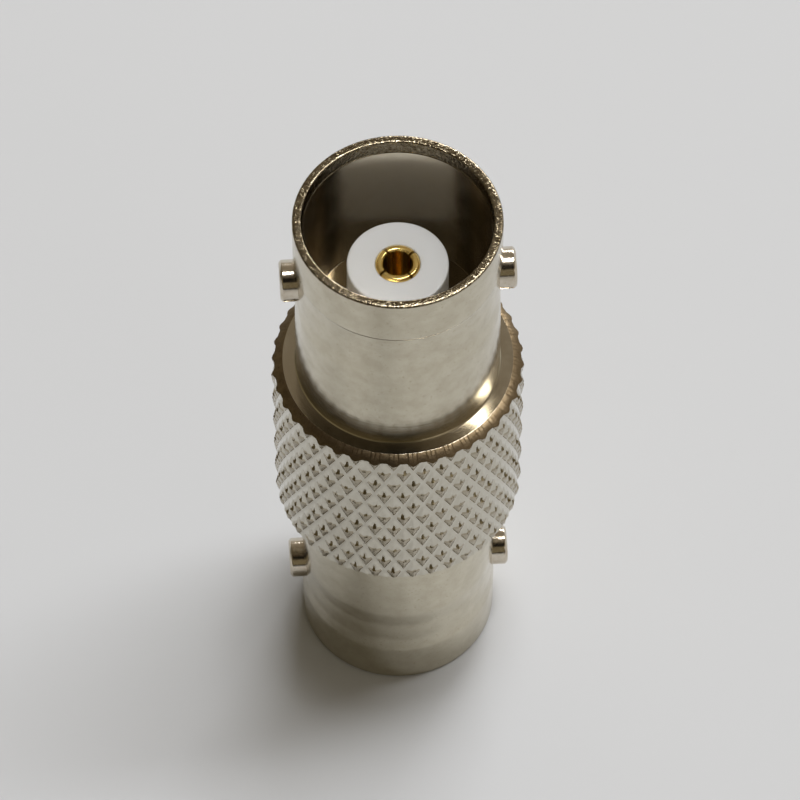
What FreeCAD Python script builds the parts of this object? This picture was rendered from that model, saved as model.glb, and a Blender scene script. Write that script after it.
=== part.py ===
"""BNC barrel adapter: two bayonet jacks back to back in a diamond-knurled sleeve.

Frame: millimetres, +Z along the barrel, origin at the middle of the lower mouth, lugs along X.
The two jack shells, their insulators and their lugs are the same parts, fitted the other way up.
"""
import FreeCAD
import Part
import math
import os
import re

import Sketcher

V = FreeCAD.Vector
doc = FreeCAD.newDocument("bnc_barrel_adapter")

# Driving dimensions in millimetres, with the turns of the slits and the knurl in degrees
SIZES = [
    ("adapter_length", 33.1),
    ("jack_reach", 11.2),
    ("mouth_dia", 9.65),
    ("rim_round", 0.10),
    ("rim_width", 0.405),
    ("band_length", 2.72),
    ("waist_step", 0.075),
    ("waist_length", 2.90),
    ("waist_ramp", 0.90),
    ("lead_in_depth", 0.75),
    ("lead_in_taper", 0.06),
    ("bore_wall", 0.755),
    ("bore_taper_depth", 2.60),
    ("bore_depth", 7.80),
    ("web_thickness", 1.60),
    ("shoulder_width", 0.425),
    ("spigot_wall", 1.00),
    ("spigot_gap", 0.20),
    ("spigot_chamfer", 0.25),
    ("sleeve_wall", 1.63),
    ("sleeve_chamfer", 0.56),
    ("sleeve_chamfer_drop", 0.39),
    ("knurl_count", 40),
    ("knurl_pitch", 1.95),
    ("knurl_depth", 0.34),
    ("knurl_crest_share", 0.30),
    ("knurl_turn", 3.05),
    ("knurl_shift", -0.60),
    ("lug_dia", 1.96),
    ("lug_reach", 0.65),
    ("lug_setback", 4.30),
    ("lug_chamfer", 0.12),
    ("lug_recess", 0.02),
    ("nose_dia", 4.71),
    ("nose_setback", 3.44),
    ("nose_chamfer", 0.08),
    ("nose_clearance", 0.04),
    ("flange_clearance", 0.02),
    ("contact_dia", 2.06),
    ("contact_setback", 3.35),
    ("contact_chamfer", 0.10),
    ("contact_clearance", 0.02),
    ("socket_dia", 1.38),
    ("socket_depth", 6.00),
    ("socket_lead_in", 0.07),
    ("slit_width", 0.20),
    ("slit_length", 4.50),
    ("slit_turn", 35.0),
    ("stop_dia", 3.20),
    ("stop_length", 1.60),
]

# Radii and heights that more than one piece takes, as sums of the sizes
BORE = "(mouth_dia / 2 - bore_wall)"
SPIGOT = "(mouth_dia / 2 - shoulder_width)"
CAVITY = "(mouth_dia / 2 - shoulder_width - spigot_wall)"
CREST = "(mouth_dia / 2 - shoulder_width + sleeve_wall)"
LUG_END = "(mouth_dia / 2 + lug_reach)"
WEB_END = "(bore_depth + web_thickness)"
MIDDLE = "(adapter_length / 2)"

sheet = doc.addObject("Spreadsheet::Sheet", "sizes")
for row, (alias, value) in enumerate(SIZES, start=1):
    sheet.set("A%d" % row, alias)
    sheet.set("B%d" % row, str(value))
    sheet.setAlias("B%d" % row, alias)
doc.recompute()


def formula(text):
    """Turn a sum of size names, such as mouth_dia / 2, into an expression on the sheet."""
    return re.sub(r"[a-z_]+", lambda name: "sizes." + name.group(0), text)


def number(text):
    """The present value of a sum of size names."""
    return float(sheet.evalExpression(formula(text)))


def origin_plane(body, role):
    return next(plane for plane in body.Origin.OriginFeatures if plane.Role == role)


def place_point(sketch, line, x_text, y_text):
    """Tie the start of a sketch line to its two size formulas."""
    for kind, text, axis in (("DistanceX", x_text, -2), ("DistanceY", y_text, -1)):
        if text == "0":
            sketch.addConstraint(Sketcher.Constraint("PointOnObject", line, 1, axis))
        else:
            index = sketch.addConstraint(
                Sketcher.Constraint(kind, -1, 1, line, 1, number(text))
            )
            sketch.setExpression("Constraints[%d]" % index, formula(text))


def draw_outline(sketch, points):
    """Closed outline of straight lines through points given as pairs of size formulas."""
    corners = [V(number(x), number(y), 0) for x, y in points]
    count = len(corners)
    for i, corner in enumerate(corners):
        sketch.addGeometry(Part.LineSegment(corner, corners[(i + 1) % count]))
    for i in range(count):
        sketch.addConstraint(Sketcher.Constraint("Coincident", i, 2, (i + 1) % count, 1))
    for i, (x_text, y_text) in enumerate(points):
        place_point(sketch, i, x_text, y_text)


def turned_body(name, profile):
    """Body turned about Z from its half section, points given as (radius, height)."""
    body = doc.addObject("PartDesign::Body", name)
    body.Label = name
    sketch = body.newObject("Sketcher::SketchObject", name + "_section")
    sketch.AttachmentSupport = [(origin_plane(body, "XZ_Plane"), "")]
    sketch.MapMode = "FlatFace"
    draw_outline(sketch, profile)
    turning = body.newObject("PartDesign::Revolution", name + "_turning")
    turning.Profile = sketch
    turning.ReferenceAxis = (sketch, ["V_Axis"])
    turning.Angle = 360
    doc.recompute()
    return body


def set_upper_end(body):
    """Turn a part of the lower end over to serve at the upper end."""
    body.Placement = FreeCAD.Placement(V(), FreeCAD.Rotation(V(1, 0, 0), 180))
    body.setExpression("Placement.Base.z", formula("adapter_length"))


def make_jack_shell(end):
    """Turned jack: rim, lead-in, bore and web inside; mouth band, waist and spigot outside.

    Its shoulder seats on the sleeve's face and its spigot is pressed into the sleeve.
    """
    mouth = "mouth_dia / 2"
    waist = "mouth_dia / 2 - waist_step"
    lead_in = "mouth_dia / 2 - rim_width"
    spigot_end = MIDDLE + " - spigot_gap / 2"
    nose_hole = "nose_dia / 2 + nose_clearance"
    body = turned_body(end + "_jack_shell", [
        (mouth + " - rim_round", "0"),
        (mouth, "rim_round"),
        (mouth, "band_length"),
        (waist, "band_length + waist_ramp"),
        (waist, "band_length + waist_length - waist_ramp"),
        (mouth, "band_length + waist_length"),
        (mouth, "jack_reach"),
        (SPIGOT, "jack_reach"),
        (SPIGOT, spigot_end + " - spigot_chamfer"),
        (SPIGOT + " - spigot_chamfer", spigot_end),
        (CAVITY, spigot_end),
        (CAVITY, WEB_END),
        (nose_hole, WEB_END),
        (nose_hole, "bore_depth"),
        (BORE, "bore_depth"),
        (BORE, "bore_taper_depth"),
        (lead_in + " - lead_in_taper", "lead_in_depth"),
        (lead_in, "0"),
    ])
    # One drill passes through both walls for the two lugs
    drill = body.newObject("PartDesign::SubtractiveCylinder", end + "_lug_holes")
    drill.Placement = FreeCAD.Placement(V(), FreeCAD.Rotation(V(0, 1, 0), 90))
    drill.setExpression("Radius", formula("lug_dia / 2"))
    drill.setExpression("Height", formula("2 * " + LUG_END))
    drill.setExpression("Placement.Base.x", formula("-1 * " + LUG_END))
    drill.setExpression("Placement.Base.z", formula("lug_setback"))
    return body


def make_insulator(end):
    """Turned insulator: the nose shows in the bore, the flange is held behind the web."""
    contact_hole = "contact_dia / 2 + contact_clearance"
    stop_hole = "stop_dia / 2 + contact_clearance"
    stop_start = MIDDLE + " - stop_length / 2"
    flange = CAVITY + " - flange_clearance"
    return turned_body(end + "_insulator", [
        (contact_hole, "nose_setback"),
        ("nose_dia / 2 - nose_chamfer", "nose_setback"),
        ("nose_dia / 2", "nose_setback + nose_chamfer"),
        ("nose_dia / 2", WEB_END),
        (flange, WEB_END),
        (flange, MIDDLE),
        (stop_hole, MIDDLE),
        (stop_hole, stop_start),
        (contact_hole, stop_start),
    ])


def make_lug(end, side, sign):
    """Round bayonet lug, pressed into the shell's wall, its outer edge chamfered."""
    seat = "(" + BORE + " + lug_recess)"
    length = LUG_END + " - " + seat
    body = turned_body("%s_%s_lug" % (end, side), [
        ("0", "0"),
        ("lug_dia / 2", "0"),
        ("lug_dia / 2", length + " - lug_chamfer"),
        ("lug_dia / 2 - lug_chamfer", length),
        ("0", length),
    ])
    height = "lug_setback" if end == "lower" else "adapter_length - lug_setback"
    body.Placement = FreeCAD.Placement(V(), FreeCAD.Rotation(V(0, 1, 0), 90 * sign))
    body.setExpression("Placement.Base.x", formula("%d * %s" % (sign, seat)))
    body.setExpression("Placement.Base.z", formula(height))
    return body


def cut_slits(body, end, face, reversed_cut):
    """Two crossing saw cuts split one socket into four tines."""
    sketch = body.newObject("Sketcher::SketchObject", end + "_slit_section")
    sketch.AttachmentSupport = [(origin_plane(body, "XY_Plane"), "")]
    sketch.MapMode = "FlatFace"
    sketch.AttachmentOffset = FreeCAD.Placement(V(), FreeCAD.Rotation(V(0, 0, 1), 0))
    sketch.setExpression("AttachmentOffset.Base.z", formula(face))
    sketch.setExpression("AttachmentOffset.Rotation.Angle", formula("slit_turn"))
    half_width = number("slit_width / 2")
    half_reach = number("contact_dia")
    corners = [
        V(-half_reach, -half_width, 0),
        V(half_reach, -half_width, 0),
        V(half_reach, half_width, 0),
        V(-half_reach, half_width, 0),
    ]
    for i in range(4):
        sketch.addGeometry(Part.LineSegment(corners[i], corners[(i + 1) % 4]))
    for i in range(4):
        sketch.addConstraint(Sketcher.Constraint("Coincident", i, 2, (i + 1) % 4, 1))
    sketch.addConstraint(Sketcher.Constraint("Horizontal", 0))
    sketch.addConstraint(Sketcher.Constraint("Horizontal", 2))
    sketch.addConstraint(Sketcher.Constraint("Vertical", 1))
    sketch.addConstraint(Sketcher.Constraint("Symmetric", 0, 1, 1, 2, -1, 1))
    reach = sketch.addConstraint(Sketcher.Constraint("DistanceX", 0, 1, 0, 2, 2 * half_reach))
    width = sketch.addConstraint(Sketcher.Constraint("DistanceY", 1, 1, 1, 2, 2 * half_width))
    sketch.setExpression("Constraints[%d]" % reach, formula("2 * contact_dia"))
    sketch.setExpression("Constraints[%d]" % width, formula("slit_width"))
    slit = body.newObject("PartDesign::Pocket", end + "_slit")
    slit.Profile = sketch
    slit.Reversed = reversed_cut
    slit.setExpression("Length", formula("slit_length"))
    doc.recompute()
    cross = body.newObject("PartDesign::PolarPattern", end + "_slit_cross")
    cross.Originals = [slit]
    cross.Axis = (sketch, ["N_Axis"])
    cross.Mode = "Spacing"
    cross.Offset = 90
    cross.Occurrences = 2
    body.Tip = cross
    doc.recompute()


def make_contact():
    """Double-ended centre contact: a slotted socket at each end and a stop ring in the middle."""
    top = "adapter_length - contact_setback"
    outer = "contact_dia / 2"
    inner = "socket_dia / 2"
    stop = "stop_dia / 2"
    body = turned_body("centre_contact", [
        (inner + " + socket_lead_in", "contact_setback"),
        (outer + " - contact_chamfer", "contact_setback"),
        (outer, "contact_setback + contact_chamfer"),
        (outer, MIDDLE + " - stop_length / 2"),
        (stop, MIDDLE + " - stop_length / 2"),
        (stop, MIDDLE + " + stop_length / 2"),
        (outer, MIDDLE + " + stop_length / 2"),
        (outer, top + " - contact_chamfer"),
        (outer + " - contact_chamfer", top),
        (inner + " + socket_lead_in", top),
        (inner, top + " - socket_lead_in"),
        (inner, top + " - socket_depth"),
        ("0", top + " - socket_depth"),
        ("0", "contact_setback + socket_depth"),
        (inner, "contact_setback + socket_depth"),
        (inner, "contact_setback + socket_lead_in"),
    ])
    cut_slits(body, "lower", "contact_setback", True)
    cut_slits(body, "upper", "adapter_length - contact_setback", False)
    return body


def knurled_bar():
    """Bar whose skin is rows of raised diamonds between two families of crossing V grooves.

    Each diamond is a pyramid on four groove crossings, cut off flat at the crest.
    """
    count = int(sheet.knurl_count)
    row_height = sheet.knurl_pitch / 2
    crest = number(CREST)
    floor = crest - sheet.knurl_depth
    tip = (crest - sheet.knurl_crest_share * floor) / (1 - sheet.knurl_crest_share)
    half_step = math.pi / count
    first_angle = math.radians(sheet.knurl_turn)
    half_length = sheet.adapter_length / 2 - sheet.jack_reach
    rows_each_way = math.ceil((half_length + abs(sheet.knurl_shift)) / row_height) + 1
    middle = sheet.adapter_length / 2 + sheet.knurl_shift

    def crossing(column, row):
        angle = first_angle + column * half_step
        return V(floor * math.cos(angle), floor * math.sin(angle), middle + row * row_height)

    def towards(point, apex, outward):
        """Where the edge from the apex to a groove crossing meets the crest plane."""
        share = (tip - crest) / (tip - point.dot(outward))
        return apex + (point - apex) * share

    faces = []
    for row in range(-rows_each_way, rows_each_way + 1):
        for column in range(row % 2, 2 * count, 2):
            angle = first_angle + column * half_step
            outward = V(math.cos(angle), math.sin(angle), 0)
            apex = outward * tip + V(0, 0, middle + row * row_height)
            base = [
                crossing(column + 1, row),
                crossing(column, row + 1),
                crossing(column - 1, row),
                crossing(column, row - 1),
            ]
            top = [towards(point, apex, outward) for point in base]
            faces.append(Part.Face(Part.makePolygon(top + top[:1])))
            for i in range(4):
                k = (i + 1) % 4
                side = [base[i], base[k], top[k], top[i], base[i]]
                faces.append(Part.Face(Part.makePolygon(side)))
    for end in (-1, 1):
        edge_row = end * rows_each_way
        centre = V(0, 0, middle + (edge_row + end) * row_height)
        for column in range(edge_row % 2, 2 * count, 2):
            peak = crossing(column, edge_row + end)
            for neighbour in (column - 1, column + 1):
                valley = crossing(neighbour, edge_row)
                faces.append(Part.Face(Part.makePolygon([centre, peak, valley, centre])))
    shell = Part.makeShell(faces)
    shell.sewShape()
    bar = Part.makeSolid(shell)
    if bar.Volume < 0:
        bar.reverse()
    return bar


def make_sleeve():
    """Sleeve: a bored blank with chamfered ends, knurled all over its outside."""
    rim = CREST + " - sleeve_chamfer"
    stock = CREST + " + sleeve_chamfer"
    low = "jack_reach"
    high = "adapter_length - jack_reach"
    blank = turned_body("sleeve_blank", [
        (SPIGOT, low),
        (rim, low),
        (stock, low + " + 2 * sleeve_chamfer_drop"),
        (stock, high + " - 2 * sleeve_chamfer_drop"),
        (rim, high),
        (SPIGOT, high),
    ])
    knurl = doc.addObject("Part::Feature", "knurl")
    knurl.Shape = knurled_bar()
    sleeve = doc.addObject("Part::Common", "knurled_sleeve")
    sleeve.Label = "knurled_sleeve"
    sleeve.Base = blank
    sleeve.Tool = knurl
    return sleeve


nodes = [make_contact(), make_sleeve()]
for end in ("lower", "upper"):
    shell = make_jack_shell(end)
    insulator = make_insulator(end)
    if end == "upper":
        set_upper_end(shell)
        set_upper_end(insulator)
    nodes += [shell, insulator]
    for side, sign in (("left", -1), ("right", 1)):
        nodes.append(make_lug(end, side, sign))
doc.recompute()

for item in doc.Objects:
    if "Invalid" in item.State or "Error" in item.State:
        raise RuntimeError("%s did not build: %s" % (item.Name, item.State))
for node in nodes:
    if node.Shape.isNull() or not node.Shape.isValid():
        raise RuntimeError("%s has no valid shape" % node.Label)

os.makedirs("parts", exist_ok=True)
for node in nodes:
    node.Shape.exportStep("parts/%s.step" % node.Label)
    print(node.Label, "solids", len(node.Shape.Solids), "faces", len(node.Shape.Faces),
          "volume %.3f" % node.Shape.Volume)
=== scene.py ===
"""A BNC barrel adapter, dressed: plated jacks, knurled sleeve, white insulators, gilt contact."""
import math

import bpy
import numpy as np
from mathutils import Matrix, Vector


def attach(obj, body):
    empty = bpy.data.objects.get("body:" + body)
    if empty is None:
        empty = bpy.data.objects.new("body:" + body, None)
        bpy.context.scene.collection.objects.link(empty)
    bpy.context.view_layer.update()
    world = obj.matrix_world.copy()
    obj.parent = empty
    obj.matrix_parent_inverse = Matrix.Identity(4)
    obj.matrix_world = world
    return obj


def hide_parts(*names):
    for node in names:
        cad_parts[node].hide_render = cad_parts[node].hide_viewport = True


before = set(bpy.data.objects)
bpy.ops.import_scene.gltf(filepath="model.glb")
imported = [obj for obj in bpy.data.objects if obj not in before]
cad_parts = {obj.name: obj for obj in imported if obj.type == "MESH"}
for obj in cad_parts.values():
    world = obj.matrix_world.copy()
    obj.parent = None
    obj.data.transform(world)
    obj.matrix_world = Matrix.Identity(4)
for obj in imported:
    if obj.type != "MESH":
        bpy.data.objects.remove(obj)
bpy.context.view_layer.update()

MM = 0.001


# Where it stands and how it is lit
# A sheet of pale matt paper under a soft lamp and a long panel overhead on the right, with a low
# window behind, a weak fill from the front and a dim warm room. The camera has a long lens.

CAMERA_PLACE = Vector((-0.00924, -0.12845, 0.21515))
CAMERA_TARGET = Vector((0.000180, 0.001045, 0.016556))
CAMERA_LENS = 220.70
PAPER_TONE = (0.656, 0.672, 0.700, 1.0)
PAPER_RADIUS = 3.0
PAPER_STEPS = 96
SWEEP_TONE = (0.62, 0.62, 0.61, 1.0)
TABLE_TONE = (0.19, 0.16, 0.10, 1.0)
ROOM_LIT = (0.27, 0.23, 0.175, 1.0)
ROOM_DARK = (0.050, 0.041, 0.028, 1.0)
ROOM_LIT_AZIMUTH = math.radians(40.0)
DARK_PATCH_TONE = (0.008, 0.007, 0.005, 1.0)
DARK_PATCH_WAY = (-0.040, -0.543, 0.839)
# Each lamp: where it is, where it points, its two sides, and the light of its face
LAMPS = {
    "overhead_lamp": ((0.078, 0.123, 1.2), (0.078, 0.123, 0.0), (0.23, 0.23), 26.5),
    "overhead_panel": ((0.553, 0.254, 1.2), (0.553, 0.254, 0.0), (0.745, 0.216), 12.7),
    "low_window": ((0.624, 1.696, 0.858), (0.0, 0.0, 0.0), (0.91, 0.385), 15.2),
    "front_fill": ((0.745, -1.064, 0.75), (0.0, 0.0, 0.0), (0.80, 0.30), 1.1),
}

camera_data = bpy.data.cameras.new("camera")
camera_data.lens = CAMERA_LENS
camera_data.sensor_width = 36.0
camera_data.clip_start = 0.01
camera_data.clip_end = 20.0
camera = bpy.data.objects.new("camera", camera_data)
camera.location = CAMERA_PLACE
camera.rotation_mode = "QUATERNION"
camera.rotation_quaternion = (CAMERA_TARGET - CAMERA_PLACE).to_track_quat("-Z", "Y")
bpy.context.scene.collection.objects.link(camera)
bpy.context.scene.camera = camera
bpy.context.scene.view_settings.view_transform = "Standard"


def add_node(tree, kind, **values):
    """Add a shader node, set its plain properties, and set or link its inputs by name or number."""
    node = tree.nodes.new(kind)
    inputs = values.pop("inputs", {})
    for key, value in values.items():
        setattr(node, key, value)
    for key, value in inputs.items():
        if isinstance(value, bpy.types.NodeSocket):
            tree.links.new(value, node.inputs[key])
        else:
            node.inputs[key].default_value = value
    return node


def new_material(name):
    """An empty node material with its Principled shader wired to the output."""
    material = bpy.data.materials.new(name)
    material.use_nodes = True
    tree = material.node_tree
    tree.nodes.clear()
    shader = tree.nodes.new("ShaderNodeBsdfPrincipled")
    output = tree.nodes.new("ShaderNodeOutputMaterial")
    tree.links.new(shader.outputs["BSDF"], output.inputs["Surface"])
    return material, tree, shader


paper_material, paper_tree, paper_shader = new_material("matt_paper")
paper_shader.inputs["Base Color"].default_value = PAPER_TONE
paper_shader.inputs["Roughness"].default_value = 0.9
paper_shader.inputs["Specular IOR Level"].default_value = 0.1
paper_grain = add_node(paper_tree, "ShaderNodeTexNoise", inputs={"Scale": 2500.0, "Detail": 3.0})
paper_bump = add_node(paper_tree, "ShaderNodeBump", inputs={
    "Strength": 0.15, "Distance": 0.00002, "Height": paper_grain.outputs["Fac"]})
paper_tree.links.new(paper_bump.outputs["Normal"], paper_shader.inputs["Normal"])
paper_mesh = bpy.data.meshes.new("paper")
paper_ring = [2 * math.pi * i / PAPER_STEPS for i in range(PAPER_STEPS)]
paper_mesh.from_pydata(
    [(PAPER_RADIUS * math.cos(a), PAPER_RADIUS * math.sin(a), 0.0) for a in paper_ring],
    [], [list(range(PAPER_STEPS))])
paper_mesh.materials.append(paper_material)
paper = bpy.data.objects.new("paper", paper_mesh)
bpy.context.scene.collection.objects.link(paper)

for lamp_name, (lamp_place, lamp_target, lamp_sides, lamp_light) in LAMPS.items():
    lamp_data = bpy.data.lights.new(lamp_name, "AREA")
    lamp_data.shape = "RECTANGLE"
    lamp_data.size, lamp_data.size_y = lamp_sides
    lamp_data.energy = lamp_light * math.pi * lamp_sides[0] * lamp_sides[1]
    lamp = bpy.data.objects.new(lamp_name, lamp_data)
    lamp.location = lamp_place
    lamp.rotation_mode = "QUATERNION"
    lamp.rotation_quaternion = (Vector(lamp_target) - Vector(lamp_place)).to_track_quat("-Z", "Y")
    bpy.context.scene.collection.objects.link(lamp)

world = bpy.data.worlds.new("room")
bpy.context.scene.world = world
world.use_nodes = True
room = world.node_tree
room.nodes.clear()
room_way = add_node(room, "ShaderNodeTexCoord")
room_lit_way = add_node(room, "ShaderNodeVectorMath", operation="DOT_PRODUCT", inputs={
    0: room_way.outputs["Generated"],
    1: (math.cos(ROOM_LIT_AZIMUTH), math.sin(ROOM_LIT_AZIMUTH), 0.25)})
room_share = add_node(room, "ShaderNodeMapRange", interpolation_type="SMOOTHSTEP", inputs={
    "Value": room_lit_way.outputs["Value"], "From Min": -0.22, "From Max": 0.75})
room_height = add_node(room, "ShaderNodeSeparateXYZ", inputs={0: room_way.outputs["Generated"]})
room_table = add_node(room, "ShaderNodeValToRGB", inputs={0: room_height.outputs["Z"]})
# Going up from the floor: a pale sweep, a dark gap, the table and the dark ceiling
room_steps = room_table.color_ramp.elements
room_steps[0].position, room_steps[0].color = 0.04, SWEEP_TONE
room_steps[1].position, room_steps[1].color = 0.76, ROOM_DARK
for room_step, room_step_tone in (
        (0.07, DARK_PATCH_TONE), (0.17, DARK_PATCH_TONE), (0.21, TABLE_TONE), (0.68, TABLE_TONE)):
    room_steps.new(room_step).color = room_step_tone
room_tone = add_node(room, "ShaderNodeMix", data_type="RGBA", inputs={
    0: room_share.outputs["Result"], 6: room_table.outputs["Color"], 7: ROOM_LIT})
room_patch_way = add_node(room, "ShaderNodeVectorMath", operation="DOT_PRODUCT", inputs={
    0: room_way.outputs["Generated"], 1: DARK_PATCH_WAY})
room_patch = add_node(room, "ShaderNodeMapRange", interpolation_type="SMOOTHSTEP", inputs={
    "Value": room_patch_way.outputs["Value"], "From Min": 0.955, "From Max": 0.985})
room_shaded = add_node(room, "ShaderNodeMix", data_type="RGBA", inputs={
    0: room_patch.outputs["Result"], 6: room_tone.outputs[2], 7: DARK_PATCH_TONE})
room_low = add_node(room, "ShaderNodeMapRange", interpolation_type="SMOOTHSTEP", inputs={
    "Value": room_height.outputs["Z"], "From Min": 0.30, "From Max": 0.12})
room_sweep = add_node(room, "ShaderNodeMath", operation="MULTIPLY", inputs={
    0: room_low.outputs["Result"], 1: room_share.outputs["Result"]})
room_mix = add_node(room, "ShaderNodeMix", data_type="RGBA", inputs={
    0: room_sweep.outputs[0], 6: room_shaded.outputs[2], 7: SWEEP_TONE})
room_light = add_node(room, "ShaderNodeBackground", inputs={"Color": room_mix.outputs[2]})
add_node(room, "ShaderNodeOutputWorld", inputs={0: room_light.outputs[0]})


# Jack shells
# Turned brass, bright nickel plated over the tool marks. Each has a rim, a lead-in and a bore for
# the plug outside and inside, a waist behind the mouth band, and a spigot pressed into the sleeve.

ADAPTER_LENGTH = 33.1
JACK_REACH = 11.2
MOUTH_RADIUS = 4.825
WAIST_RADIUS = 4.75
BAND_END = 2.60
WAIST_END = 5.95
BAND_STEP = 0.025
BAND_STEP_LENGTH = {"upper": 0.05, "lower": 0.24}
WAIST_START, WAIST_RISE = 3.50, 4.90
# How far out of the wall and back from the shoulder each point of the foot's fillet is
SHOULDER_FILLET = ((0.0, 0.09), (0.015, 0.035), (0.06, 0.0))
BORE_RADIUS = 4.07
BORE_MOUTH_RADIUS = 4.36
LEAD_IN_RADIUS = 4.40
LEAD_IN_END = 0.80
BORE_DEPTH = 7.8
WEB_END = 9.4
SPIGOT_RADIUS = 4.4
SPIGOT_END = 16.45
SPIGOT_CHAMFER_START = 16.20
SPIGOT_TIP_RADIUS = 4.15
CAVITY_RADIUS = 3.4
NOSE_HOLE_RADIUS = 2.395
LUG_RADIUS = 0.98
LUG_SEAT = 4.35
LUG_SETBACK = 4.3
SHELL_STEPS = 512
DRILL_STEPS = 96
DRILL_REACH = 7.0
# By the corner's number in the section: outer rim, band end, waist end, bore floor, inner rim
SHELL_ROUNDS = {0: 0.13, 1: 0.02, 5: 0.12, 16: 0.03, 20: 0.10}
RIM_STEP, WALL_STEP, PLAIN_STEP, HIDDEN_STEP = 0.05, 0.13, 1.2, 6.0
SHARP_ANGLE = 32.0
FACET_RADIUS = 6.0
FACET_DEPTH = 0.07
FACET_BEFORE = 1.6
FACET_BEHIND = 3.55
RIM_FACE_DEPTH = 0.10
RIM_ROUND_DEPTH = 0.12
CHATTER = 0.006
CHATTER_END, CHATTER_FADE = 0.72, 0.15
CHATTER_WAVES = 48
CHATTER_TURNS = (50, 230)
CHATTER_CLIMBS = (4.0, 26.0)
# Marks above this are cut off, so that none stands proud of the turned surface
CHATTER_TOP = 0.8
NICKEL = (0.62, 0.572, 0.455, 1.0)
NICKEL_DEEP = (0.44, 0.39, 0.28, 1.0)


def ease_corners(points, sizes, steps=4):
    """Round the corners of a closed half section; sizes maps a corner's number to its round."""
    outline = []
    count = len(points)
    for i, point in enumerate(points):
        here = Vector(point)
        size = sizes.get(i, 0.0)
        if not size:
            outline.append(tuple(here))
            continue
        back = (Vector(points[i - 1]) - here).normalized()
        ahead = (Vector(points[(i + 1) % count]) - here).normalized()
        outline.append(tuple(here + 1.6 * size * back))
        for k in range(steps + 1):
            t = k / steps
            outline.append(tuple(here + size * ((1 - t) ** 2 * back + t ** 2 * ahead)))
        outline.append(tuple(here + 1.6 * size * ahead))
    return outline


def divide_runs(points, step_at):
    """Divide the straight runs of a closed half section; step_at gives the step at a middle."""
    outline = []
    count = len(points)
    for i, point in enumerate(points):
        here, there = Vector(point), Vector(points[(i + 1) % count])
        parts = max(1, round((there - here).length / step_at(*((here + there) / 2))))
        outline += [tuple(here.lerp(there, k / parts)) for k in range(parts)]
    return outline


def turn_points(outline, steps):
    """Turn a half section in millimetres about Z: points by angle and place in the section."""
    angles = np.arange(steps) * 2 * math.pi / steps
    radius, height = np.array(outline, float).T
    return np.stack([
        np.outer(np.cos(angles), radius),
        np.outer(np.sin(angles), radius),
        np.tile(height, (steps, 1)),
    ], axis=-1)


def grid_faces(rows, columns):
    """Quads of a grid that closes on itself both ways."""
    i, j = np.meshgrid(np.arange(rows), np.arange(columns), indexing="ij")
    i_next, j_next = (i + 1) % rows, (j + 1) % columns
    corners = np.stack([i, i_next, i_next, i]) * columns + np.stack([j, j, j_next, j_next])
    return corners.reshape(4, -1).T.tolist()


def make_piece(name, points, faces, *materials, zones=None, sharp_angle=SHARP_ANGLE):
    """A mesh object from points in millimetres, smooth but for its sharp edges.

    zones gives each face the number of its material.
    """
    mesh = bpy.data.meshes.new(name)
    mesh.from_pydata((np.asarray(points).reshape(-1, 3) * MM).tolist(), [], faces)
    mesh.polygons.foreach_set("use_smooth", [True] * len(mesh.polygons))
    mesh.set_sharp_from_angle(angle=math.radians(sharp_angle))
    for material in materials:
        mesh.materials.append(material)
    if zones is not None:
        mesh.polygons.foreach_set("material_index", zones)
    mesh.update()
    piece = bpy.data.objects.new(name, mesh)
    bpy.context.scene.collection.objects.link(piece)
    return piece


def set_upper(points):
    """Turn points of the lower end over to the upper end."""
    turned = points.copy()
    turned[..., 1] = -points[..., 1]
    turned[..., 2] = ADAPTER_LENGTH - points[..., 2]
    return turned


def cut_away(piece, cutter):
    """Cut one mesh out of another and remove the cutter."""
    modifier = piece.modifiers.new("cut", "BOOLEAN")
    modifier.operation = "DIFFERENCE"
    modifier.solver = "EXACT"
    modifier.object = cutter
    graph = bpy.context.evaluated_depsgraph_get()
    mesh = bpy.data.meshes.new_from_object(piece.evaluated_get(graph))
    piece.modifiers.clear()
    old = piece.data
    piece.data = mesh
    mesh.name = piece.name
    bpy.data.meshes.remove(old)
    bpy.data.objects.remove(cutter)


def new_group(name, inputs, outputs):
    """An empty shader node group with named float, colour or vector sockets."""
    group = bpy.data.node_groups.new(name, "ShaderNodeTree")
    for socket, kind, value in inputs:
        made = group.interface.new_socket(socket, in_out="INPUT", socket_type="NodeSocket" + kind)
        made.default_value = value
    for socket, kind in outputs:
        group.interface.new_socket(socket, in_out="OUTPUT", socket_type="NodeSocket" + kind)
    return group, group.nodes.new("NodeGroupInput"), group.nodes.new("NodeGroupOutput")


def place_group(tree, group, **values):
    """Place a node group in a material; an underscore in a value's name stands for a space."""
    node = tree.nodes.new("ShaderNodeGroup")
    node.node_tree = group
    for key, value in values.items():
        socket = node.inputs[key.replace("_", " ")]
        if isinstance(value, bpy.types.NodeSocket):
            tree.links.new(value, socket)
        else:
            socket.default_value = value
    return node


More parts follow.
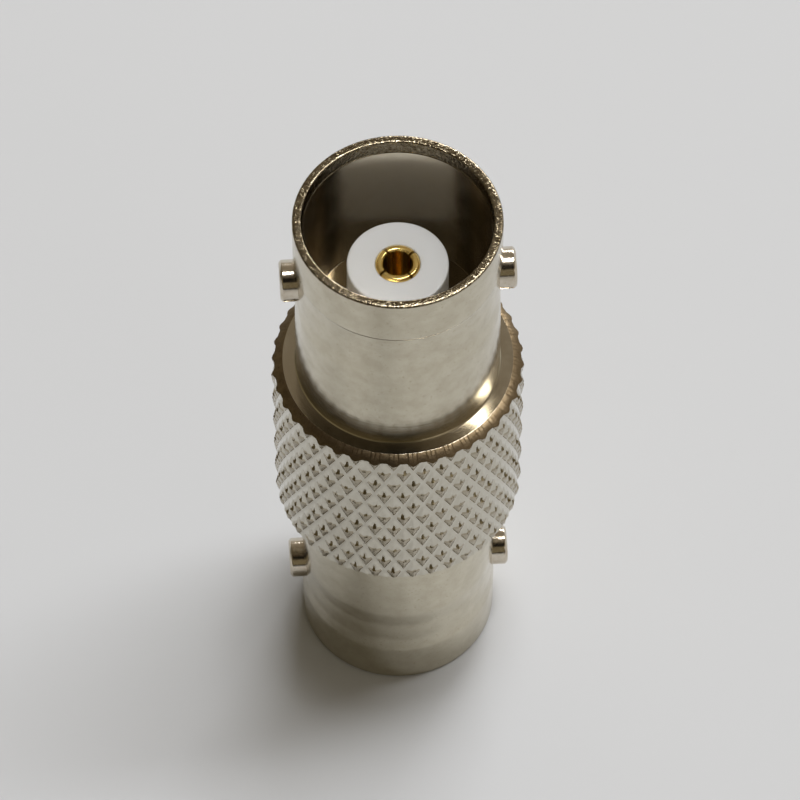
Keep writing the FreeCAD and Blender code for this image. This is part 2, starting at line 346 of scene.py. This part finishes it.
def make_turning_marks():
    """Fine rings left by the lathe tool, along the barrel and across its end faces."""
    group, given, result = new_group("turning_marks", [
        ("Place", "Vector", (0.0, 0.0, 0.0)),
        ("Rings Per Mm", "Float", 12.0), ("Wander", "Float", 1.5), ("Unevenness", "Float", 3.0),
    ], [("Height", "Float")])
    in_mm = add_node(group, "ShaderNodeVectorMath", operation="SCALE",
                     inputs={0: given.outputs["Place"], "Scale": 1000.0})
    parts = add_node(group, "ShaderNodeSeparateXYZ", inputs={0: in_mm.outputs[0]})
    flat = add_node(group, "ShaderNodeCombineXYZ",
                    inputs={0: parts.outputs["X"], 1: parts.outputs["Y"]})
    radius = add_node(group, "ShaderNodeVectorMath", operation="LENGTH",
                      inputs={0: flat.outputs[0]})
    way = add_node(group, "ShaderNodeVectorMath", operation="NORMALIZE",
                   inputs={0: flat.outputs[0]})
    around = add_node(group, "ShaderNodeVectorMath", operation="SCALE",
                      inputs={0: way.outputs[0], "Scale": given.outputs["Wander"]})
    along = add_node(group, "ShaderNodeMath", operation="ADD",
                     inputs={0: parts.outputs["Z"], 1: radius.outputs["Value"]})
    rings = add_node(group, "ShaderNodeMath", operation="MULTIPLY",
                     inputs={0: along.outputs[0], 1: given.outputs["Rings Per Mm"]})
    split = add_node(group, "ShaderNodeSeparateXYZ", inputs={0: around.outputs[0]})
    spot = add_node(group, "ShaderNodeCombineXYZ", inputs={
        0: split.outputs["X"], 1: split.outputs["Y"], 2: rings.outputs[0]})
    noise = add_node(group, "ShaderNodeTexNoise", inputs={
        "Vector": spot.outputs[0], "Scale": 1.0, "Detail": given.outputs["Unevenness"]})
    group.links.new(noise.outputs["Fac"], result.inputs["Height"])
    return group


def make_plating_tone():
    """Uneven thickness and stain of the plating, as a colour and a change of roughness."""
    group, given, result = new_group("plating_tone", [
        ("Bright", "Color", NICKEL), ("Stained", "Color", NICKEL_DEEP),
        ("Patch Size Mm", "Float", 1.5), ("Stain", "Float", 0.3), ("Specks", "Float", 0.5),
        ("Smooth", "Float", 0.2), ("Rough", "Float", 0.3),
    ], [("Color", "Color"), ("Roughness", "Float")])
    place = add_node(group, "ShaderNodeTexCoord")
    scale = add_node(group, "ShaderNodeMath", operation="DIVIDE",
                     inputs={0: 1000.0, 1: given.outputs["Patch Size Mm"]})
    cloud = add_node(group, "ShaderNodeTexNoise", inputs={
        "Vector": place.outputs["Object"], "Scale": scale.outputs[0],
        "Detail": 4.0, "Roughness": 0.6})
    spread = add_node(group, "ShaderNodeMapRange", inputs={
        "Value": cloud.outputs["Fac"], "From Min": 0.35, "From Max": 0.70})
    share = add_node(group, "ShaderNodeMath", operation="MULTIPLY",
                     inputs={0: spread.outputs["Result"], 1: given.outputs["Stain"]})
    dust = add_node(group, "ShaderNodeTexNoise", inputs={
        "Vector": place.outputs["Object"], "Scale": 7000.0, "Detail": 1.0})
    dots = add_node(group, "ShaderNodeMapRange", inputs={
        "Value": dust.outputs["Fac"], "From Min": 0.66, "From Max": 0.73})
    dotted = add_node(group, "ShaderNodeMath", operation="MULTIPLY",
                      inputs={0: dots.outputs["Result"], 1: given.outputs["Specks"]})
    shade = add_node(group, "ShaderNodeMath", operation="MAXIMUM",
                     inputs={0: share.outputs[0], 1: dotted.outputs[0]})
    tone = add_node(group, "ShaderNodeMix", data_type="RGBA", inputs={
        0: shade.outputs[0], 6: given.outputs["Bright"], 7: given.outputs["Stained"]})
    rough = add_node(group, "ShaderNodeMapRange", inputs={
        "Value": spread.outputs["Result"],
        "To Min": given.outputs["Smooth"], "To Max": given.outputs["Rough"]})
    group.links.new(tone.outputs[2], result.inputs["Color"])
    group.links.new(rough.outputs["Result"], result.inputs["Roughness"])
    return group


turning_marks = make_turning_marks()
plating_tone = make_plating_tone()


def make_plated(name, tone_values, marks_values, depth, pitting=0.0, pit_size=0.1, sideways=False):
    """Plated metal: stained tone, uneven gloss, rings left by the tool and a pitted skin.

    depth and pitting are heights in millimetres; sideways is for a pin turned about X.
    """
    material, tree, shader = new_material(name)
    shader.inputs["Metallic"].default_value = 1.0
    place = add_node(tree, "ShaderNodeTexCoord")
    way = place.outputs["Object"]
    if sideways:
        parts = add_node(tree, "ShaderNodeSeparateXYZ", inputs={0: way})
        way = add_node(tree, "ShaderNodeCombineXYZ", inputs={2: parts.outputs["X"]}).outputs[0]
    tone = place_group(tree, plating_tone, **tone_values)
    marks = place_group(tree, turning_marks, Place=way, **marks_values)
    bump = add_node(tree, "ShaderNodeBump", inputs={
        "Strength": 1.0, "Distance": depth * MM, "Height": marks.outputs["Height"]})
    if pitting:
        pits = add_node(tree, "ShaderNodeTexNoise", inputs={
            "Vector": place.outputs["Object"], "Scale": 1.0 / (pit_size * MM), "Detail": 2.0})
        bump = add_node(tree, "ShaderNodeBump", inputs={
            "Strength": 1.0, "Distance": pitting * MM, "Height": pits.outputs["Fac"],
            "Normal": bump.outputs["Normal"]})
    tree.links.new(tone.outputs["Color"], shader.inputs["Base Color"])
    tree.links.new(tone.outputs["Roughness"], shader.inputs["Roughness"])
    tree.links.new(bump.outputs["Normal"], shader.inputs["Normal"])
    return material


nickel_turned = make_plated(
    "nickel_turned",
    dict(Bright=NICKEL, Stained=NICKEL_DEEP, Stain=0.50, Specks=0.8, Patch_Size_Mm=0.8,
         Smooth=0.15, Rough=0.22),
    dict(Rings_Per_Mm=14.0, Wander=1.2), 0.0022)
nickel_rim = make_plated(
    "nickel_rim",
    dict(Bright=(0.42, 0.365, 0.265, 1.0), Stained=(0.10, 0.075, 0.04, 1.0), Stain=1.0, Specks=0.8,
         Patch_Size_Mm=0.18, Smooth=0.06, Rough=0.14),
    dict(Rings_Per_Mm=8.0, Wander=6.0), 0.002, pitting=0.020, pit_size=0.08)
# A lighter copy of the nickel for the bore's walls: painted light
nickel_bore_lit = make_plated(
    "nickel_bore_lit",
    dict(Bright=(0.80, 0.73, 0.60, 1.0), Stained=(0.68, 0.60, 0.47, 1.0), Stain=0.3, Specks=0.1,
         Patch_Size_Mm=1.2, Smooth=0.15, Rough=0.21),
    dict(Rings_Per_Mm=10.0, Wander=0.8), 0.0004)
# A darker copy of the nickel for the bore's floor and the nose's hole: painted shade
nickel_web_shaded = make_plated(
    "nickel_web_shaded",
    dict(Bright=(0.30, 0.25, 0.17, 1.0), Stained=(0.19, 0.15, 0.09, 1.0), Stain=0.5, Specks=0.3,
         Patch_Size_Mm=0.8, Smooth=0.08, Rough=0.14),
    dict(Rings_Per_Mm=8.0, Wander=0.8), 0.0006)
RIM_ZONE, BORE_ZONE, WEB_ZONE = 1, 2, 3


def make_chatter(around, along, seed):
    """Uneven marks of a chattering tool, about one unit high, from a few dozen random waves."""
    random = np.random.default_rng(seed)
    marks = np.zeros(np.broadcast(around, along).shape)
    for _ in range(CHATTER_WAVES):
        turns = int(random.integers(*CHATTER_TURNS))
        marks += np.cos(turns * around + random.uniform(*CHATTER_CLIMBS) * along
                        + random.uniform(0, 2 * math.pi))
    return marks / math.sqrt(CHATTER_WAVES / 2)


def make_shell(end):
    """One jack shell, drilled for its lugs."""
    section = [
        (MOUTH_RADIUS, 0.0),
        (MOUTH_RADIUS, BAND_END),
        (MOUTH_RADIUS - BAND_STEP, BAND_END + BAND_STEP_LENGTH[end]),
        (WAIST_RADIUS, WAIST_START),
        (WAIST_RADIUS, WAIST_RISE),
        (MOUTH_RADIUS, WAIST_END),
        *((MOUTH_RADIUS + out, JACK_REACH - back) for out, back in SHOULDER_FILLET),
        (SPIGOT_RADIUS, JACK_REACH),
        (SPIGOT_RADIUS, SPIGOT_CHAMFER_START),
        (SPIGOT_TIP_RADIUS, SPIGOT_END),
        (CAVITY_RADIUS, SPIGOT_END),
        (CAVITY_RADIUS, WEB_END),
        (NOSE_HOLE_RADIUS, WEB_END),
        (NOSE_HOLE_RADIUS, BORE_DEPTH),
        (BORE_RADIUS, BORE_DEPTH),
        (BORE_MOUTH_RADIUS - 0.002, LEAD_IN_END + 0.04),
        (BORE_MOUTH_RADIUS, LEAD_IN_END - 0.01),
        (BORE_MOUTH_RADIUS + 0.03, LEAD_IN_END - 0.05),
        (LEAD_IN_RADIUS, 0.0),
    ]
    outline = ease_corners(section, SHELL_ROUNDS, steps=6)

    def step_at(radius, depth):
        if depth < LEAD_IN_END and radius < LEAD_IN_RADIUS + 0.01 or depth < RIM_ROUND_DEPTH:
            return RIM_STEP
        if radius > WAIST_RADIUS - 0.01 and depth < LUG_SETBACK + FACET_BEHIND:
            return WALL_STEP
        return PLAIN_STEP if depth < JACK_REACH else HIDDEN_STEP

    outline = divide_runs(outline, step_at)
    points = turn_points(outline, SHELL_STEPS)
    radius, depth = np.array(outline).T
    rough = np.clip((CHATTER_END - depth) / CHATTER_FADE, 0, 1)
    rough *= np.clip((MOUTH_RADIUS + 0.01 - radius) / 0.10, 0, 1)
    outside = radius > WAIST_RADIUS - 0.05
    rough[outside] *= np.clip((RIM_FACE_DEPTH - depth[outside]) / 0.05, 0, 1)
    angle = np.arange(SHELL_STEPS)[:, None] * 2 * math.pi / SHELL_STEPS
    chatter = make_chatter(angle, 10 * (radius - depth), 7)
    marks = CHATTER * rough * np.minimum(chatter - CHATTER_TOP, 0)
    points[..., 0] += marks * np.cos(angle)
    points[..., 1] += marks * np.sin(angle)
    points[..., 2] -= np.where(depth < RIM_FACE_DEPTH, marks, 0)
    below = depth - LUG_SETBACK
    cut = FACET_DEPTH * (1 - (below / np.where(below < 0, FACET_BEFORE, FACET_BEHIND)) ** 2)
    facet = MOUTH_RADIUS - cut - FACET_RADIUS + np.sqrt(FACET_RADIUS ** 2 - points[..., 1] ** 2)
    pressed = (cut > 0) & (radius > WAIST_RADIUS - 0.01) & (np.abs(points[..., 0]) > facet)
    points[..., 0] = np.where(pressed, np.sign(points[..., 0]) * facet, points[..., 0])
    if end == "upper":
        points = set_upper(points)
    faces = grid_faces(SHELL_STEPS, len(outline))
    next_radius, next_depth = np.roll(radius, -1), np.roll(depth, -1)
    middle_radius, middle_depth = (radius + next_radius) / 2, (depth + next_depth) / 2
    zone = np.zeros(len(outline), int)
    bore_floor = BORE_DEPTH - 0.05
    in_bore = middle_radius < BORE_MOUTH_RADIUS + 0.01
    in_web = (middle_depth < WEB_END - 0.1) & (middle_radius < BORE_RADIUS)
    in_lead_in = (middle_depth < LEAD_IN_END) & (middle_radius < LEAD_IN_RADIUS + 0.05)
    zone[(middle_depth < bore_floor) & in_bore] = BORE_ZONE
    zone[(middle_depth > bore_floor) & in_web] = WEB_ZONE
    zone[(middle_depth < RIM_FACE_DEPTH) | in_lead_in] = RIM_ZONE
    shell = make_piece(end + "_shell", points, faces, nickel_turned, nickel_rim, nickel_bore_lit,
                       nickel_web_shaded, zones=np.tile(zone, SHELL_STEPS))
    height = LUG_SETBACK if end == "lower" else ADAPTER_LENGTH - LUG_SETBACK
    for start, stop in ((-DRILL_REACH, -LUG_SEAT), (LUG_SEAT, DRILL_REACH)):
        ring = turn_points([(LUG_RADIUS, start), (LUG_RADIUS, stop)], DRILL_STEPS)
        drill_points = np.stack([ring[..., 2], ring[..., 0], ring[..., 1] + height], axis=-1)
        starts = [2 * i for i in range(DRILL_STEPS)]
        nexts = starts[1:] + starts[:1]
        drill_faces = [[i, j, j + 1, i + 1] for i, j in zip(starts, nexts)]
        drill_faces += [starts[::-1], [i + 1 for i in starts]]
        drill = make_piece("drill", drill_points, drill_faces, nickel_turned)
        cut_away(shell, drill)
    shell.data.set_sharp_from_angle(angle=math.radians(SHARP_ANGLE))
    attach(shell, "root")
    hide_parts(end + "_jack_shell")


make_shell("lower")
make_shell("upper")


# Bayonet lugs
# Four short brass pins, turned, plated and pressed into holes in the shells' walls from outside.
# A plug's coupling ring pulls over them.

LUG_END = 5.475
LUG_CHAMFER = 0.12
LUG_ROUNDS = {2: 0.04, 3: 0.05}
LUG_STEPS = 96
lug_nickel = make_plated(
    "lug_nickel",
    dict(Bright=(0.68, 0.62, 0.52, 1.0), Stained=(0.42, 0.34, 0.24, 1.0), Stain=0.5, Specks=0.6,
         Patch_Size_Mm=0.5, Smooth=0.12, Rough=0.20),
    dict(Rings_Per_Mm=16.0, Wander=0.0), 0.005, pitting=0.004, sideways=True)


def make_lug(end, side, sign):
    """One lug, turned about X; sign is the side of the shell that it is on."""
    section = [
        (0.0, LUG_SEAT),
        (LUG_RADIUS, LUG_SEAT),
        (LUG_RADIUS, LUG_END - LUG_CHAMFER),
        (LUG_RADIUS - LUG_CHAMFER, LUG_END),
        (0.0, LUG_END),
    ]
    outline = ease_corners(section, LUG_ROUNDS)[1:-1]
    ring = turn_points(outline, LUG_STEPS)
    height = LUG_SETBACK if end == "lower" else ADAPTER_LENGTH - LUG_SETBACK
    points = np.stack([sign * ring[..., 2], ring[..., 1], sign * -ring[..., 0] + height], axis=-1)
    count = len(outline)
    faces = [face for face in grid_faces(LUG_STEPS, count)
             if not {face[0] % count, face[2] % count} == {0, count - 1}]
    faces.append([i * count for i in reversed(range(LUG_STEPS))])
    faces.append([i * count + count - 1 for i in range(LUG_STEPS)])
    lug = make_piece("%s_%s_pin" % (end, side), points, faces, lug_nickel)
    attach(lug, "root")
    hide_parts("%s_%s_lug" % (end, side))


for end in ("lower", "upper"):
    make_lug(end, "left", -1)
    make_lug(end, "right", 1)


# Knurled sleeve
# A turned brass sleeve with a rolled diamond knurl, faced and chamfered, then nickel plated.
# The diamonds are low pyramids, not quite full, with a small pit at each peak. Their lower flanks
# are rougher and painted darker as shade, and the pits and lower walls' feet are painted shade.

CREST_RADIUS = 6.03
GROOVE_RADIUS = 5.86
RIM_RADIUS = 5.47
CHAMFER_END = 0.39
CHAMFER_WIDTH = 0.56
CHAMFER_SLOPE = CHAMFER_END / CHAMFER_WIDTH
RING_STEPS = (RIM_RADIUS - 0.02, RIM_RADIUS - 0.06, SPIGOT_RADIUS)
DIAMONDS_AROUND = 40
ROW_HEIGHT = 0.975
KNURL_TURN = math.radians(3.05)
KNURL_MIDDLE = 15.95
# How far from an end of the sleeve its chamfer can meet the knurl
EDGE_SEARCH = np.linspace(0.2, 0.45, 120)
ROW_MARGIN = 0.2
# From a diamond's peak to the groove: shares of the way, and radii on its upper and lower half
KNURL_SHARES = (0.0, 0.5, 0.6, 0.7, 0.8, 0.9, 1.0)
UPPER_RADII = (CREST_RADIUS, 5.93, 5.91, 5.89, 5.87, GROOVE_RADIUS + 0.002, GROOVE_RADIUS)
LOWER_RADII = (CREST_RADIUS, 5.955, 5.938, 5.89, 5.872, GROOVE_RADIUS + 0.002, GROOVE_RADIUS)
LEAN_RATE = 2.5
PIT_DEPTH = 0.13
PIT_ACROSS = ((0.0, 0.1, 0.2, 0.3), (1.0, 0.85, 0.25, 0.0))
PIT_ALONG = ((-0.1, 0.0, 0.1, 0.2, 0.5), (0.0, 0.1, 1.0, 0.8, 0.0))
PIT_TABLE = (2 * DIAMONDS_AROUND, 64)
# Pits more unfilled than this, of this width and height, are painted dark as shade
DARK_PIT = 0.65
DARK_PIT_WIDTH, DARK_PIT_HEIGHT = 0.1, 0.3
# Below this, each diamond's lower half gets a darker nickel: painted shade
SHADED_FLANK_TOP = 0.1
# The lower walls' feet, between these shares, are painted dark as shade
FOOT_START, FOOT_END, FOOT_TOP = 0.7, 0.8, -0.05
FINE = 10
KNURL_SHARP_ANGLE = 35.0
# Zones three and four are painted shade: dark pits and wall feet, and darker lower flanks
RING_ZONE, CHAMFER_ZONE, PAINTED_SHADE_ZONE, SHADED_FLANK_ZONE = 1, 2, 3, 4
knurl_nickel = make_plated(
    "knurl_nickel",
    dict(Bright=(0.60, 0.57, 0.49, 1.0), Stained=(0.48, 0.44, 0.35, 1.0), Stain=0.40, Specks=0.3,
         Patch_Size_Mm=0.5, Smooth=0.12, Rough=0.20),
    dict(Rings_Per_Mm=6.0, Wander=3.0), 0.0012)
nickel_faced = make_plated(
    "nickel_faced",
    dict(Bright=(0.54, 0.485, 0.385, 1.0), Stained=NICKEL_DEEP, Stain=0.2, Specks=0.2,
         Patch_Size_Mm=0.6, Smooth=0.12, Rough=0.20),
    dict(Rings_Per_Mm=9.0, Wander=5.0), 0.0022)
nickel_chamfer = make_plated(
    "nickel_chamfer",
    dict(Bright=(0.25, 0.19, 0.115, 1.0), Stained=(0.12, 0.08, 0.04, 1.0), Stain=0.7, Specks=0.8,
         Patch_Size_Mm=0.35, Smooth=0.30, Rough=0.42),
    dict(Rings_Per_Mm=9.0, Wander=5.0), 0.006, pitting=0.008, pit_size=0.10)
# A darker, rougher copy of the knurl's nickel for each diamond's lower half: painted shade
knurl_shaded_flanks = make_plated(
    "knurl_shaded_flanks",
    dict(Bright=(0.44, 0.39, 0.30, 1.0), Stained=(0.30, 0.26, 0.18, 1.0), Stain=0.6, Specks=0.6,
         Patch_Size_Mm=0.3, Smooth=0.18, Rough=0.30),
    dict(Rings_Per_Mm=6.0, Wander=3.0), 0.0018)
# Near-black nickel for the pits and the lower walls' feet: painted shade
knurl_painted_shade = make_plated(
    "knurl_painted_shade",
    dict(Bright=(0.30, 0.25, 0.15, 1.0), Stained=(0.12, 0.09, 0.045, 1.0), Stain=0.8, Specks=0.5,
         Patch_Size_Mm=0.12, Smooth=0.25, Rough=0.40),
    dict(Rings_Per_Mm=6.0, Wander=3.0), 0.0012)


def knurl_radius(column, row):
    """The knurl's radius at a place given in fine grid steps, and where in a diamond that is.

    u and v count half diamonds round and along, and p and q number the diamonds by the two
    families of grooves.
    """
    u = column / FINE
    v = row / FINE
    p = np.floor((u + v + 1) / 2)
    q = np.floor((u - v + 1) / 2)
    u_in = u - (p + q)
    v_in = v - (p - q)
    across = np.abs(u_in) + np.abs(v_in)
    upper = np.interp(across, KNURL_SHARES, UPPER_RADII)
    lower = np.interp(across, KNURL_SHARES, LOWER_RADII)
    lean = np.clip(0.5 + LEAN_RATE * v_in, 0, 1)
    return lean * upper + (1 - lean) * lower, u_in, v_in, p, q


def make_sleeve():
    """The knurled skin between two chamfers, closed by the faced rings and the hole."""
    columns = 2 * DIAMONDS_AROUND * FINE
    low, high = JACK_REACH, ADAPTER_LENGTH - JACK_REACH
    step = ROW_HEIGHT / FINE
    first = math.ceil((low + CHAMFER_END - KNURL_MIDDLE) / step + ROW_MARGIN)
    last = math.floor((high - CHAMFER_END - KNURL_MIDDLE) / step - ROW_MARGIN)
    column_numbers = np.arange(columns, dtype=float)
    row_numbers = np.arange(first, last + 1, dtype=float)
    rows = np.repeat(row_numbers[:, None], columns, axis=1)
    # A row at each end follows the line where the chamfer meets the knurl
    edge_rows = []
    for face_height, way in ((low, 1), (high, -1)):
        tried = (face_height + way * EDGE_SEARCH - KNURL_MIDDLE) / step
        tried_radius = knurl_radius(column_numbers[None, :], tried[:, None])[0]
        chamfer_radius = RIM_RADIUS + EDGE_SEARCH[:, None] / CHAMFER_SLOPE
        met = np.argmax(chamfer_radius >= tried_radius, axis=0)
        edge_rows.append(tried[met])
    rows = np.concatenate([
        np.full((1, columns), (low - KNURL_MIDDLE) / step), edge_rows[0][None], rows,
        edge_rows[1][None], np.full((1, columns), (high - KNURL_MIDDLE) / step)])
    cols = np.repeat(column_numbers[None, :], len(rows), axis=0)
    radius, u_in, v_in, p, q = knurl_radius(cols, rows)
    z = KNURL_MIDDLE + rows * step
    random = np.random.default_rng(11)
    unfilled = random.uniform(0.5, 1.0, PIT_TABLE)
    aside = random.integers(-1, 2, PIT_TABLE) / FINE
    which = (p.astype(int) % PIT_TABLE[0], q.astype(int) % PIT_TABLE[1])
    pit = np.interp(np.abs(u_in - aside[which]), *PIT_ACROSS) * np.interp(v_in, *PIT_ALONG)
    radius -= PIT_DEPTH * unfilled[which] * pit
    from_end = np.minimum(z - low, high - z)
    turned = RIM_RADIUS + from_end / CHAMFER_SLOPE
    radius = np.minimum(radius, turned)
    angle = KNURL_TURN + cols * math.pi / DIAMONDS_AROUND / FINE
    outer = np.stack([radius * np.cos(angle), radius * np.sin(angle), z], axis=-1)

    faces = []
    zones = []
    count = len(rows)
    left = np.arange(columns)
    right = (left + 1) % columns
    for r in range(count - 1):
        middle_row = (rows[r] + rows[r][right] + rows[r + 1] + rows[r + 1][right]) / 4
        _, u_mid, v_mid, _, _ = knurl_radius(column_numbers + 0.5, middle_row)
        # Each cell of the grid is split the way that the groove beside it runs
        falling = u_mid * v_mid > 0
        a, b = r * columns + left, r * columns + right
        c, d = (r + 1) * columns + left, (r + 1) * columns + right
        one = np.where(falling[:, None], np.stack([a, b, c], 1), np.stack([a, b, d], 1))
        two = np.where(falling[:, None], np.stack([b, d, c], 1), np.stack([a, d, c], 1))
        faces += one.tolist() + two.tolist()
        for third in (1, 2):
            _, u_mid, v_mid, p, q = knurl_radius(
                column_numbers + np.where(falling, third / 3, 1 - third / 3),
                rows[r] + (rows[r + 1] - rows[r]) * third / 3)
            across = np.abs(u_mid) + np.abs(v_mid)
            which = (p.astype(int) % PIT_TABLE[0], q.astype(int) % PIT_TABLE[1])
            # Unfilled pits and the lower walls' feet are painted dark as shade
            pit_shade = np.abs(u_mid - aside[which]) < DARK_PIT_WIDTH
            pit_shade &= (v_mid > 0) & (v_mid < DARK_PIT_HEIGHT) & (unfilled[which] > DARK_PIT)
            foot_shade = (v_mid < FOOT_TOP) & (across > FOOT_START) & (across < FOOT_END)
            # Each diamond's lower half gets the darker nickel as painted shade
            zone = np.where((across < FOOT_START) & (v_mid < SHADED_FLANK_TOP), SHADED_FLANK_ZONE, 0)
            zone = np.where(pit_shade | foot_shade, PAINTED_SHADE_ZONE, zone)
            zones += (zone if 0 < r < count - 2 else np.full(columns, CHAMFER_ZONE)).tolist()

    rings = []
    ring_angle = KNURL_TURN + column_numbers * math.pi / DIAMONDS_AROUND / FINE
    ring_places = [(ring_radius, high) for ring_radius in RING_STEPS]
    ring_places += [(ring_radius, low) for ring_radius in reversed(RING_STEPS)]
    for ring_radius, ring_height in ring_places:
        rings.append(np.stack([ring_radius * np.cos(ring_angle), ring_radius * np.sin(ring_angle),
                               np.full(columns, ring_height)], axis=-1))
    points = np.concatenate([outer.reshape(-1, 3)] + rings)
    chain = [count - 1] + [count + k for k in range(len(rings))] + [0]
    for ring, next_ring in zip(chain, chain[1:]):
        for i in range(columns):
            j = (i + 1) % columns
            faces.append([ring * columns + i, ring * columns + j,
                          next_ring * columns + j, next_ring * columns + i])
            zones.append(RING_ZONE)
    sleeve = make_piece("sleeve", points, faces, knurl_nickel, nickel_faced, nickel_chamfer,
                        knurl_painted_shade, knurl_shaded_flanks, zones=zones, sharp_angle=KNURL_SHARP_ANGLE)
    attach(sleeve, "root")
    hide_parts("knurled_sleeve")


make_sleeve()


# Insulators
# White fluoropolymer, turned, slightly waxy. Only the nose of each shows, at the bottom of its
# jack; the flange behind it is held by the shell's web.

NOSE_RADIUS = 2.355
NOSE_SETBACK = 3.44
CONTACT_HOLE = 1.05
STOP_HOLE = 1.62
STOP_START = 15.75
MIDDLE = 16.55
FLANGE_RADIUS = 3.38
NOSE_ROUNDS = {0: 0.05, 1: 0.10}
NOSE_STEPS = 256
PLASTIC_TONE = (0.645, 0.655, 0.66, 1.0)
PLASTIC_PALE = (0.705, 0.715, 0.72, 1.0)


def make_plastic():
    """White plastic that lets a little light in, with faint rings left by the tool."""
    material, tree, shader = new_material("white_fluoropolymer")
    shader.inputs["Roughness"].default_value = 0.45
    shader.inputs["Specular IOR Level"].default_value = 0.35
    shader.inputs["Subsurface Weight"].default_value = 0.5
    shader.inputs["Subsurface Radius"].default_value = (0.9, 0.85, 0.8)
    shader.inputs["Subsurface Scale"].default_value = 0.0008
    cloud = add_node(tree, "ShaderNodeTexNoise", inputs={"Scale": 900.0, "Detail": 3.0})
    tone = add_node(tree, "ShaderNodeMix", data_type="RGBA", inputs={
        0: cloud.outputs["Fac"], 6: PLASTIC_TONE, 7: PLASTIC_PALE})
    tree.links.new(tone.outputs[2], shader.inputs["Base Color"])
    place = add_node(tree, "ShaderNodeTexCoord")
    marks = place_group(tree, turning_marks, Place=place.outputs["Object"],
                        Rings_Per_Mm=9.0, Wander=0.5)
    bump = add_node(tree, "ShaderNodeBump", inputs={
        "Strength": 0.6, "Distance": 0.000004, "Height": marks.outputs["Height"]})
    tree.links.new(bump.outputs["Normal"], shader.inputs["Normal"])
    return material


plastic = make_plastic()


def make_insulator(end):
    """One insulator: nose, flange, and a hole stepped for the contact's stop ring."""
    section = [
        (CONTACT_HOLE, NOSE_SETBACK),
        (NOSE_RADIUS, NOSE_SETBACK),
        (NOSE_RADIUS, WEB_END),
        (FLANGE_RADIUS, WEB_END),
        (FLANGE_RADIUS, MIDDLE),
        (STOP_HOLE, MIDDLE),
        (STOP_HOLE, STOP_START),
        (CONTACT_HOLE, STOP_START),
    ]
    outline = ease_corners(section, NOSE_ROUNDS, steps=5)
    points = turn_points(outline, NOSE_STEPS)[:, ::-1]
    if end == "upper":
        points = set_upper(points)
    nose = make_piece(end + "_nose", points, grid_faces(NOSE_STEPS, len(outline)), plastic)
    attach(nose, "root")
    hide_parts(end + "_insulator")


make_insulator("lower")
make_insulator("upper")


# Centre contact
# Spring bronze, gold plated: a socket at each end, sawn crosswise into four tines.
# A stop ring in the middle is trapped between the two insulators.

CONTACT_RADIUS = 1.03
SOCKET_RADIUS = 0.69
CONTACT_SETBACK = 3.35
SOCKET_DEPTH = 6.0
CONTACT_CHAMFER = 0.10
SOCKET_LEAD_IN = 0.07
CONTACT_ROUND = 0.03
CONTACT_STEPS = 128
STOP_PLAY = 0.02
SLIT_WIDTH = 0.12
SLIT_LENGTH = 4.5
SLIT_TURN = math.radians(35.0)
SAW_REACH = 1.5
SAW_OVERRUN = 0.5
gilt = make_plated(
    "gilt",
    dict(Bright=(1.0, 0.76, 0.29, 1.0), Stained=(0.80, 0.52, 0.14, 1.0), Stain=0.4, Specks=0.3,
         Patch_Size_Mm=0.35, Smooth=0.14, Rough=0.24),
    dict(Rings_Per_Mm=10.0, Wander=0.8), 0.0012)


def make_contact():
    """The double-ended socket, closed between its two holes, with its slits sawn."""
    top = ADAPTER_LENGTH - CONTACT_SETBACK
    section = [
        (0.0, top - SOCKET_DEPTH),
        (0.0, CONTACT_SETBACK + SOCKET_DEPTH),
        (SOCKET_RADIUS, CONTACT_SETBACK + SOCKET_DEPTH),
        (SOCKET_RADIUS, CONTACT_SETBACK + SOCKET_LEAD_IN),
        (SOCKET_RADIUS + SOCKET_LEAD_IN, CONTACT_SETBACK),
        (CONTACT_RADIUS - CONTACT_CHAMFER, CONTACT_SETBACK),
        (CONTACT_RADIUS, CONTACT_SETBACK + CONTACT_CHAMFER),
        (CONTACT_RADIUS, STOP_START),
        (STOP_HOLE - STOP_PLAY, STOP_START),
        (STOP_HOLE - STOP_PLAY, ADAPTER_LENGTH - STOP_START),
        (CONTACT_RADIUS, ADAPTER_LENGTH - STOP_START),
        (CONTACT_RADIUS, top - CONTACT_CHAMFER),
        (CONTACT_RADIUS - CONTACT_CHAMFER, top),
        (SOCKET_RADIUS + SOCKET_LEAD_IN, top),
        (SOCKET_RADIUS, top - SOCKET_LEAD_IN),
        (SOCKET_RADIUS, top - SOCKET_DEPTH),
    ]
    rounds = dict.fromkeys((4, 5, 6, 11, 12, 13), CONTACT_ROUND)
    outline = ease_corners(section, rounds, steps=3)[2:]
    points = turn_points(outline, CONTACT_STEPS)
    count = len(outline)
    faces = [face for face in grid_faces(CONTACT_STEPS, count)
             if not {face[0] % count, face[2] % count} == {0, count - 1}]
    faces.append([i * count for i in range(CONTACT_STEPS)])
    faces.append([i * count + count - 1 for i in reversed(range(CONTACT_STEPS))])
    contact = make_piece("contact", points, faces, gilt)
    for start in (CONTACT_SETBACK - SAW_OVERRUN, top - SLIT_LENGTH):
        for quarter in (0, 1):
            angle = SLIT_TURN + quarter * math.pi / 2
            ways = np.array([[math.cos(angle), math.sin(angle)],
                             [-math.sin(angle), math.cos(angle)]])
            corners = [[x, y, z] for z in (start, start + SLIT_LENGTH + SAW_OVERRUN)
                       for x, y in (np.array(s) * (SAW_REACH, SLIT_WIDTH / 2) @ ways
                                    for s in ((-1, -1), (1, -1), (1, 1), (-1, 1)))]
            saw = make_piece("saw", corners, [
                [3, 2, 1, 0], [4, 5, 6, 7], [0, 1, 5, 4], [1, 2, 6, 5], [2, 3, 7, 6], [3, 0, 4, 7]],
                gilt)
            cut_away(contact, saw)
    contact.data.set_sharp_from_angle(angle=math.radians(SHARP_ANGLE))
    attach(contact, "root")
    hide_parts("centre_contact")


make_contact()
